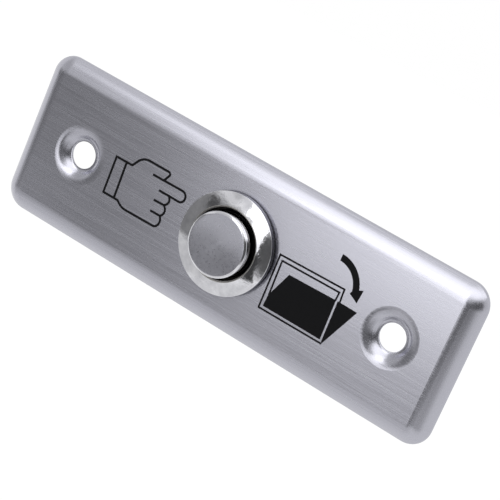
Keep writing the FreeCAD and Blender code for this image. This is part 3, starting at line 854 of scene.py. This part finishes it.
@dataclass(frozen=True)
class ButtonHousing:
    """The turned housing: bevelled flange, dull lip, collar and a barrel with a fine thread.

    The thread's crest and flank are shares of the way from its ridge to its root. A face counts
    as part of the lip or of the flange's wall by the margins.
    """

    node: str = "button_housing"
    steps: int = 160
    flange_back: float = -2.9
    flange_edge: float = -3.93
    lip_face: float = -4.67
    flange_radius: float = 9.11
    lip_radius: float = 6.62
    lip_flat: float = 0.12
    lip_chamfer: float = 0.2
    bore_radius: float = 6.3
    collar_radius: float = 5.83
    collar_front: float = -3.2
    collar_back: float = 0.4
    rear_bore_radius: float = 6.6
    base_bore_radius: float = 6.9
    base_front: float = 9.2
    base_shoulder: float = 12.0
    rear_lip_radius: float = 6.2
    barrel_rear: float = 12.4
    barrel_radius: float = 8.0
    barrel_chamfer: float = 0.45
    barrel_margin: float = 0.01
    thread_pitch: float = 1.0
    thread_depth: float = 0.55
    thread_crest: float = 0.12
    thread_flank: float = 0.7
    thread_front: float = -1.2
    thread_rear: float = 12.0
    thread_end: float = 0.3
    rings_per_pitch: int = 10
    sharp_angle: float = 36.0
    lip_margin: float = 0.02
    wall_margin: float = 0.06
    wall_front_margin: float = 0.08

    def thread_rings(self) -> list[Corner]:
        """Divide the barrel finely enough for the thread.

        Returns:
            The barrel's points from the rear to the front.
        """
        span = self.thread_rear - self.thread_front
        count = round(span / self.thread_pitch * self.rings_per_pitch)
        return [
            (self.barrel_radius, self.thread_rear - span * index / count, 0.0)
            for index in range(count + 1)
        ]

    def section(self) -> list[Point]:
        """Draw the housing's section, in which each corner has its own small rounding.

        Returns:
            The section's points as radius and depth.
        """
        corners = [
            (self.barrel_radius, self.flange_back, 0.0),
            (self.flange_radius, self.flange_back, 0.12),
            (self.flange_radius, self.flange_edge, 0.14),
            (self.lip_radius, self.lip_face, 0.05),
            (self.lip_radius - self.lip_flat, self.lip_face, 0.04),
            (self.bore_radius, self.lip_face + self.lip_chamfer, 0.06),
            (self.bore_radius, self.collar_front, 0.0),
            (self.collar_radius, self.collar_front, 0.06),
            (self.collar_radius, self.collar_back, 0.06),
            (self.rear_bore_radius, self.collar_back, 0.0),
            (self.rear_bore_radius, self.base_front, 0.0),
            (self.base_bore_radius, self.base_front, 0.0),
            (self.base_bore_radius, self.base_shoulder, 0.0),
            (self.rear_lip_radius, self.base_shoulder, 0.05),
            (self.rear_lip_radius, self.barrel_rear, 0.1),
            (self.barrel_radius - self.barrel_chamfer, self.barrel_rear, 0.05),
        ]
        return rounded(corners + self.thread_rings())

    def thread_groove(self, depth: float, turn: float) -> float:
        """Return how deep the thread's groove is.

        Args:
            depth: The place along Y in millimetres.
            turn: The place round the axis, as a share of a turn.

        Returns:
            The groove's depth in millimetres, which fades at both ends of the thread.
        """
        phase = (depth / self.thread_pitch - turn) % 1.0
        flank = min(phase, 1.0 - phase) * 2.0
        groove = min(1.0, max(0.0, (flank - self.thread_crest) / self.thread_flank))
        front = min(1.0, max(0.0, (depth - self.thread_front) / self.thread_pitch))
        rear = min(1.0, max(0.0, (self.thread_rear - depth) / self.thread_end))
        return self.thread_depth * groove * front * rear

    def cut_thread(self, piece: bpy.types.Object) -> None:
        """Move the barrel's points in to the thread's groove.

        Args:
            piece: The turned housing.
        """
        for vertex in piece.data.vertices:
            x, y, z = vertex.co / MM
            radius = math.hypot(x, z)
            outside = abs(radius - self.barrel_radius) < self.barrel_margin
            if outside and self.thread_front <= y <= self.thread_rear:
                turn = math.atan2(z, x) / (2 * math.pi)
                share = (radius - self.thread_groove(y, turn)) / radius
                vertex.co.x *= share
                vertex.co.z *= share

    def build(self) -> bpy.types.Object:
        """Turn, thread and dress the housing.

        Returns:
            The housing as one piece.
        """
        piece = turn_section("housing_threaded", self.section(), self.steps)
        self.cut_thread(piece)
        smooth(piece, self.sharp_angle)
        lip = self.lip_radius + self.lip_margin
        chamfer = self.lip_face + self.lip_chamfer
        wall = self.flange_radius - self.wall_margin
        paint(piece, POLISHED_NICKEL.material())
        paint_faces(
            piece,
            DULL_NICKEL.material(),
            lambda middle: math.hypot(middle.x, middle.z) < lip and middle.y < chamfer,
        )
        # The bore's faces take a near-black colour: painted shade for the deep gap round the cap.
        paint_faces(
            piece,
            BORE_PAINTED_SHADE.material(),
            lambda middle: math.hypot(middle.x, middle.z) < lip
            and chamfer < middle.y < self.base_shoulder,
        )
        # The flange's side wall takes a darker grey: painted shade for the shadow and dark
        # reflection along it.
        paint_faces(
            piece,
            FLANGE_WALL_PAINTED_SHADE.material(),
            lambda middle: math.hypot(middle.x, middle.z) > wall
            and middle.y > self.flange_edge + self.wall_front_margin,
        )
        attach(piece, Body.PLATE.value)
        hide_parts(self.node)
        return piece


@dataclass(frozen=True)
class PushCap:
    """The turned cap: satin, hardly dished face, polished bevel and side, skirt and grooves."""

    node: str = "push_cap"
    steps: int = 160
    radius: float = 5.75
    face: float = -6.83
    bevel_width: float = 0.42
    bevel_depth: float = 0.2
    edge_round: float = 0.3
    dish_radius: float = 5.05
    dish_depth: float = 0.03
    dish_steps: int = 10
    face_margin: float = 0.05
    groove_radius: float = 5.05
    groove_front: float = -2.82
    groove_back: float = -1.98
    clip_radius: float = 5.25
    clip_front: float = 0.4
    clip_back: float = 0.9
    rear: float = 1.2
    cavity_radius: float = 4.6
    cavity_front: float = -5.33

    def dish(self) -> list[Corner]:
        """Draw the face's shallow dish as part of a large ball.

        Returns:
            The dish's points from the axis out to its rim.
        """
        ball = (self.dish_radius**2 + self.dish_depth**2) / (2 * self.dish_depth)
        centre = self.face + self.dish_depth - ball
        points = []
        for index in range(self.dish_steps + 1):
            radius = self.dish_radius * index / self.dish_steps
            depth = centre + math.sqrt(ball**2 - radius**2)
            points.append((radius, depth, 0.0))
        return points

    def section(self) -> list[Point]:
        """Draw the cap's section, in which each corner has its own small rounding.

        Returns:
            The section's points as radius and depth.
        """
        corners = self.dish() + [
            (self.radius - self.bevel_width, self.face, 0.05),
            (self.radius, self.face + self.bevel_depth, self.edge_round),
            (self.radius, self.groove_front, 0.04),
            (self.groove_radius, self.groove_front, 0.0),
            (self.groove_radius, self.groove_back, 0.0),
            (self.radius, self.groove_back, 0.04),
            (self.radius, self.clip_front, 0.04),
            (self.clip_radius, self.clip_front, 0.0),
            (self.clip_radius, self.clip_back, 0.0),
            (self.radius, self.clip_back, 0.04),
            (self.radius, self.rear, 0.1),
            (self.cavity_radius, self.rear, 0.1),
            (self.cavity_radius, self.cavity_front, 0.0),
            (0.0, self.cavity_front, 0.0),
        ]
        return rounded(corners)

    def build(self) -> bpy.types.Object:
        """Turn and dress the cap.

        Returns:
            The cap as one piece.
        """
        piece = turn_section("cap_turned", self.section(), self.steps)
        rim = self.radius - self.bevel_width
        depth = self.face + self.dish_depth + self.face_margin
        paint(piece, POLISHED_NICKEL.material())
        paint_faces(
            piece,
            TURNED_CAP.material(),
            lambda middle: math.hypot(middle.x, middle.z) < rim and middle.y < depth,
        )
        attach(piece, Body.BUTTON.value)
        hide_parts(self.node)
        return piece


@dataclass(frozen=True)
class ReturnSpring:
    """The coil spring behind the plunger.

    It is wound past both seats by the spare turns and ground flat there.
    """

    node: str = "return_spring"
    joint: str = "button_press"
    travel: float = 1.8
    front: float = 6.9
    back: float = 12.3
    coil_radius: float = 1.3
    wire: float = 0.35
    turns: int = 6
    spare_turns: int = 2
    ground_end: float = 0.34
    steps: int = 40
    sides: int = 14
    sharp_angle: float = 36.0

    def grind(self, depth: float, outward: float) -> None:
        """Cut the wire flat at a seat and close the cut.

        Args:
            depth: Where the seat is along Y.
            outward: 1 where the wire behind the seat goes away, or -1 for the wire before it.
        """
        bpy.ops.mesh.select_all(action="SELECT")
        bpy.ops.mesh.bisect(
            plane_co=(0, depth * MM, 0),
            plane_no=(0, outward, 0),
            use_fill=True,
            clear_outer=True,
            threshold=MERGE_DISTANCE,
        )

    def build(self) -> bpy.types.Object:
        """Wind, grind and dress the spring.

        Returns:
            The spring as one piece.
        """
        pitch = (self.back - self.front) / self.turns
        start = self.front - self.ground_end * self.wire - pitch
        piece = new_point("return_coil", 0.0, 0.0, 0.0)
        bpy.ops.mesh.delete(type="VERT")
        bpy.ops.mesh.primitive_circle_add(
            vertices=self.sides,
            radius=self.wire / 2 * MM,
            location=(self.coil_radius * MM, start * MM, 0),
        )
        bpy.ops.object.mode_set(mode="OBJECT")
        screw = piece.modifiers.new("winding", "SCREW")
        screw.axis = "Y"
        screw.screw_offset = pitch * MM
        screw.iterations = self.turns + self.spare_turns
        screw.steps = self.steps
        screw.render_steps = self.steps
        bpy.ops.object.modifier_apply(modifier=screw.name)
        bpy.ops.object.mode_set(mode="EDIT")
        self.grind(self.front, -1.0)
        self.grind(self.back, 1.0)
        bpy.ops.mesh.select_all(action="SELECT")
        bpy.ops.mesh.normals_make_consistent(inside=False)
        bpy.ops.object.mode_set(mode="OBJECT")
        smooth(piece, self.sharp_angle)
        paint(piece, SPRING_WIRE.material())
        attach(piece, Body.PLATE.value)
        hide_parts(self.node)
        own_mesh(piece)
        return piece


# Studio


@dataclass(frozen=True)
class StudioCamera:
    """The camera's place, aim, roll in degrees, lens and the nearest and farthest it sees."""

    place: Place = (126.429, -280.060, 88.708)
    aim: Place = (4.217, -2.5, 0.913)
    roll: float = 23.558
    lens: float = 133.99
    nearest: float = 10.0
    farthest: float = 100000.0

    def build(self) -> bpy.types.Object:
        """Set up the camera.

        Returns:
            The camera, which the scene then uses.
        """
        camera = bpy.data.objects.new("camera", bpy.data.cameras.new("camera"))
        bpy.context.scene.collection.objects.link(camera)
        place = Vector(self.place) * MM
        look = Vector(self.aim) * MM - place
        turn = look.to_track_quat("-Z", "Y").to_matrix()
        turn = turn @ Matrix.Rotation(math.radians(self.roll), 3, "Z")
        camera.matrix_world = Matrix.Translation(place) @ turn.to_4x4()
        camera.data.lens = self.lens
        camera.data.clip_start = self.nearest * MM
        camera.data.clip_end = self.farthest * MM
        bpy.context.scene.camera = camera
        return camera


@dataclass(frozen=True)
class Panel:
    """A flat panel that faces the part.

    Its azimuth runs from the part's front towards +X and its elevation from level upwards. Its
    roll lifts its end towards +X.
    """

    name: str
    azimuth: float
    elevation: float
    distance: float
    width: float
    height: float
    roll: float = 0.0

    def matrix(self) -> Matrix:
        """Place the panel and turn it to the part.

        Returns:
            The panel's place and turn.
        """
        azimuth = math.radians(self.azimuth)
        elevation = math.radians(self.elevation)
        level = math.cos(elevation)
        away = Vector((math.sin(azimuth) * level, -math.cos(azimuth) * level, math.sin(elevation)))
        turn = (-away).to_track_quat("-Z", "Y").to_matrix().to_4x4()
        rolled = turn @ Matrix.Rotation(math.radians(self.roll), 4, "Z")
        return Matrix.Translation(away * self.distance * MM) @ rolled


@dataclass(frozen=True)
class SoftBox(Panel):
    """A lamp with an even bright front."""

    brightness: float = 1.0

    def build(self) -> bpy.types.Object:
        """Hang the soft box.

        Returns:
            The lamp.
        """
        light = bpy.data.lights.new(self.name, "AREA")
        light.shape = "RECTANGLE"
        light.size = self.width * MM
        light.size_y = self.height * MM
        # Its front stays as bright when its size is changed.
        light.energy = self.brightness * math.pi * light.size * light.size_y
        lamp = bpy.data.objects.new(self.name, light)
        bpy.context.scene.collection.objects.link(lamp)
        lamp.matrix_world = self.matrix()
        lamp.visible_camera = False
        return lamp


@dataclass(frozen=True)
class GreyCard(Panel):
    """A card that the metal reflects, with soft edges, and that is never seen itself."""

    shade: float = 0.1
    soft: float = 80.0

    def cover(self, tree: bpy.types.NodeTree) -> bpy.types.NodeSocket:
        """Fade the card towards its edges.

        Args:
            tree: The material's node tree.

        Returns:
            How much of the card is there: 1 in its middle, down to 0 at its edges.
        """
        place = add_node(tree, "ShaderNodeTexCoord")
        parts = add_node(tree, "ShaderNodeSeparateXYZ", links={0: place.outputs["UV"]})
        edge = 0.5
        fades = []
        for axis, span in enumerate((self.width, self.height)):
            middle = calculate(tree, "SUBTRACT", parts.outputs[axis], edge)
            fade = add_node(
                tree,
                "ShaderNodeMapRange",
                {
                    "interpolation_type": "SMOOTHSTEP",
                    "From Min": edge,
                    "From Max": edge - self.soft / span,
                },
                {"Value": calculate(tree, "ABSOLUTE", middle)},
            )
            fades.append(fade.outputs[0])
        return calculate(tree, "MULTIPLY", *fades)

    def material(self) -> bpy.types.Material:
        """Make the card's shade, which fades towards its edges.

        Returns:
            The material.
        """
        material, tree = new_material(self.name)
        clear = add_node(tree, "ShaderNodeBsdfTransparent")
        card = add_node(
            tree, "ShaderNodeEmission", {"Color": (self.shade, self.shade, self.shade, 1.0)}
        )
        mixed = add_node(
            tree,
            "ShaderNodeMixShader",
            links={0: self.cover(tree), 1: clear.outputs[0], 2: card.outputs[0]},
        )
        add_node(tree, "ShaderNodeOutputMaterial", links={"Surface": mixed.outputs[0]})
        return material

    def build(self) -> bpy.types.Object:
        """Hang the card.

        Returns:
            The card.
        """
        bpy.ops.object.select_all(action="DESELECT")
        bpy.ops.mesh.primitive_plane_add(size=1.0)
        card = bpy.context.active_object
        card.name = self.name
        size = Matrix.Diagonal((self.width * MM, self.height * MM, 1.0, 1.0))
        card.matrix_world = self.matrix() @ size
        paint(card, self.material())
        card.visible_camera = False
        card.visible_diffuse = False
        return card


@dataclass(frozen=True)
class Studio:
    """The camera, lamps, cards, floor and surroundings."""

    camera: StudioCamera = StudioCamera()
    panels: tuple[SoftBox | GreyCard, ...] = (
        SoftBox("front_soft_box", -13, 13, 750, 320, 720, brightness=1.35),
        SoftBox("upper_soft_box", 15, 55, 760, 1200, 560, brightness=1.3),
        GreyCard("left_card", -54.5, -7, 700, 940, 600, roll=6, shade=0.27, soft=150),
        GreyCard("upper_left_edge", -22, 5, 690, 210, 250, shade=0.6, soft=60),
        GreyCard("left_flag", -56, 4, 650, 170, 160, shade=0.1, soft=50),
        GreyCard("low_left_card", -58, -34, 710, 700, 330, shade=0.72, soft=80),
        GreyCard("upper_left_card", -62, 32, 710, 693, 461, shade=0.7, soft=80),
        GreyCard("low_card", -20, -25, 690, 460, 280, shade=0.28, soft=100),
        GreyCard("foreground_card", -25, -55, 720, 900, 500, shade=0.86, soft=120),
        GreyCard("right_card", 32, 6, 680, 1340, 720, roll=28, shade=0.12, soft=200),
        GreyCard("side_card", 48, 14, 670, 600, 420, roll=28, shade=0.04, soft=120),
        GreyCard("low_right_card", 44, -25, 700, 480, 420, shade=0.6, soft=200),
        GreyCard("low_right_flag", -3, -22, 660, 130, 300, shade=0.06, soft=25),
    )
    floor_level: float = -1000.0
    floor_size: float = 12000.0
    floor_colour: str = "#A8A8A8"
    floor_glow: str = "#E6E6E6"
    fill: float = 0.6

    def seen_or_mirrored(self, tree: bpy.types.NodeTree) -> bpy.types.NodeSocket:
        """Tell what is seen or mirrored from what only lights the part.

        Args:
            tree: The node tree of the surroundings or of the floor.

        Returns:
            1 for what the camera sees, alone or in metal or glass, and 0 for the rest.
        """
        rays = add_node(tree, "ShaderNodeLightPath").outputs
        seen = calculate(tree, "MAXIMUM", rays["Is Camera Ray"], rays["Is Glossy Ray"])
        return calculate(tree, "MAXIMUM", seen, rays["Is Transmission Ray"])

    def build_surroundings(self) -> None:
        """Set a white background and a softer even light."""
        world = bpy.data.worlds.new("studio")
        bpy.context.scene.world = world
        world.use_nodes = True
        tree = world.node_tree
        tree.nodes.clear()
        fill, white = (
            add_node(tree, "ShaderNodeBackground", {"Color": linear(WHITE), "Strength": strength})
            for strength in (self.fill, 1.0)
        )
        mixed = add_node(
            tree,
            "ShaderNodeMixShader",
            links={0: self.seen_or_mirrored(tree), 1: fill.outputs[0], 2: white.outputs[0]},
        )
        add_node(tree, "ShaderNodeOutputWorld", links={"Surface": mixed.outputs[0]})

    def build_floor(self) -> None:
        """Lay a plain pale floor, which keeps a shadow."""
        bpy.ops.object.select_all(action="DESELECT")
        bpy.ops.mesh.primitive_plane_add(
            size=self.floor_size * MM, location=(0, 0, self.floor_level * MM)
        )
        floor = bpy.context.active_object
        floor.name = "floor"
        material, tree = new_material("pale floor")
        matt = add_node(tree, "ShaderNodeBsdfDiffuse", {"Color": linear(self.floor_colour)})
        glow = add_node(
            tree,
            "ShaderNodeEmission",
            {"Color": linear(self.floor_glow)},
            {"Strength": self.seen_or_mirrored(tree)},
        )
        both = add_node(
            tree, "ShaderNodeAddShader", links={0: matt.outputs[0], 1: glow.outputs[0]}
        )
        add_node(tree, "ShaderNodeOutputMaterial", links={"Surface": both.outputs[0]})
        paint(floor, material)

    def build(self) -> None:
        """Set up the studio."""
        bpy.context.scene.view_settings.view_transform = "Standard"
        self.build_surroundings()
        self.build_floor()
        for panel in self.panels:
            panel.build()
        self.camera.build()


def dress_nodes(finishes: dict[Finish, Iterable[str]]) -> None:
    """Give each node that is shown with its own mesh its finish.

    Args:
        finishes: The names of the nodes that take each finish.
    """
    for finish, names in finishes.items():
        material = finish.material()
        for name in names:
            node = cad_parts[name]
            for slot in node.material_slots:
                slot.material = material
            LOG.info("%s: %s", name, finish.name)


def main() -> None:
    """Build the pieces in order and set up the studio."""
    logging.basicConfig(level=logging.INFO, format="%(message)s")
    dress_nodes(NODE_FINISHES)
    for maker in (
        ButtonHousing(),
        PushCap(),
        ReturnSpring(),
        HAND_SIGN,
        DOOR_SIGN,
        EXIT_ARROW,
    ):
        piece = maker.build()
        LOG.info("%s: %d faces", piece.name, len(piece.data.polygons))
    Studio().build()


if __name__ == "__main__":
    main()
